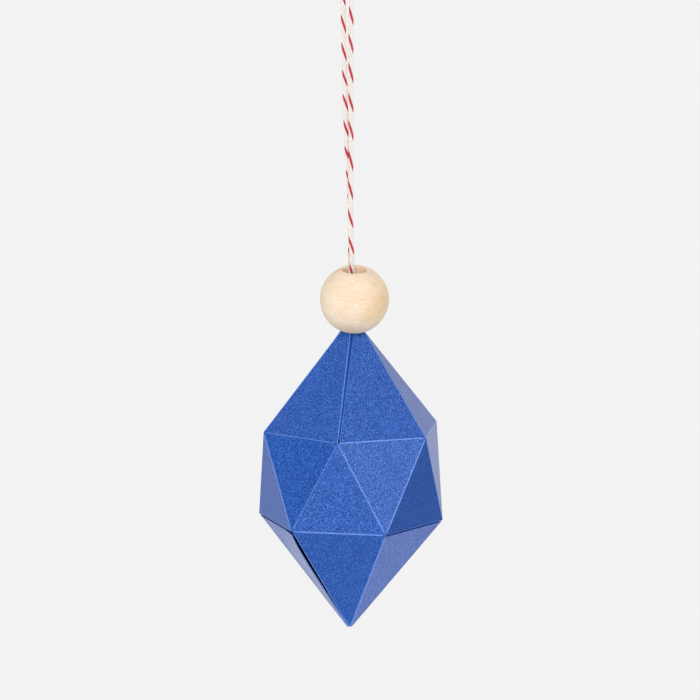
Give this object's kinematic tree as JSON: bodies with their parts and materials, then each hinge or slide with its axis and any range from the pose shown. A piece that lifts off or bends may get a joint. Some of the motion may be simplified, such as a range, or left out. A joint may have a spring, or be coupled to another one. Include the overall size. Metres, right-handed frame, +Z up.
{
  "type": "faceted paper ornament",
  "caption": "Hanging faceted ornament folded from blue card, with a wooden bead seated on its point and a loop of striped twine to hang it by.",
  "frame": {"origin": "inside top of the twine loop, where a hook or a twig carries the ornament", "axes": "+Z up along the plumb line from the card body's axis to the hook; -Y towards the upper ring corner under the widest glued seam; the loop spreads along X"},
  "size_m": [0.0546, 0.0546, 0.2076],
  "materials": {
    "blue_card": "matte dyed card, whitened along its folds",
    "bare_wood": "unvarnished sanded wood",
    "striped_twine": "cotton twine of white plies and one red ply"
  },
  "bodies": {
    "root": {"card_body": "blue_card", "wood_bead": "bare_wood", "twine": "striped_twine", "twine_knot": "striped_twine"}
  },
  "joints": []
}
